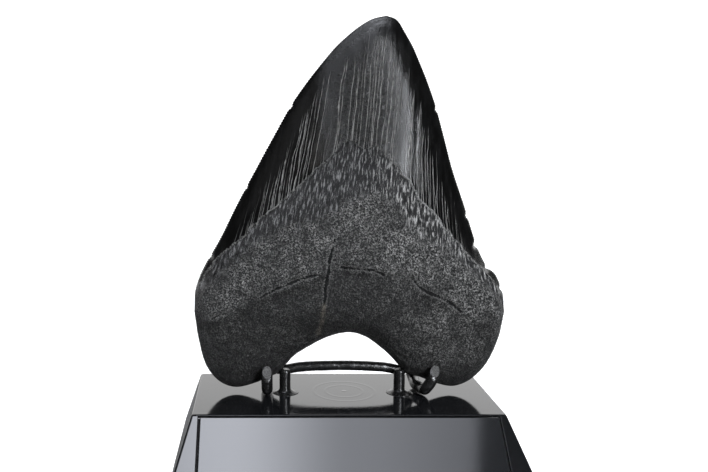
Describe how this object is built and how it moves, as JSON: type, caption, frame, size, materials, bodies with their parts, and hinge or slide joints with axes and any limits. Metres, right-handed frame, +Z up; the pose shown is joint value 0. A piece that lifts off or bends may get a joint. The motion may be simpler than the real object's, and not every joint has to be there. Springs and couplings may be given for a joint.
{
  "type": "megalodon tooth",
  "caption": "Large black fossil shark tooth standing point up in a wire cradle on a black desk stand with a blank sloping name plate.",
  "frame": {"origin": "centre of the whole object's footprint on the table", "axes": "+Z up through the tooth's tip, +X to the right of someone who faces the name plate, -Y towards them"},
  "size_m": [0.1188, 0.0764, 0.1593],
  "materials": {
    "fossil": "glossy black enamel with fine pale growth cracks on the crown, matt speckled charcoal on the root",
    "moulded_base": "polished moulded black plastic",
    "plate": "smooth satin-gloss black laminate, blank",
    "coated_wire": "glossy black dipped coating over steel wire, rough grey at the cut tips",
    "glue": "glossy dried black adhesive"
  },
  "bodies": {
    "root": {"tooth": "fossil", "base": "moulded_base", "name_plate": "plate", "crossbar": "coated_wire", "hook_left": "coated_wire", "hook_right": "coated_wire", "post_left": "coated_wire", "post_right": "coated_wire", "glue_left": "glue", "glue_right": "glue"}
  },
  "joints": []
}
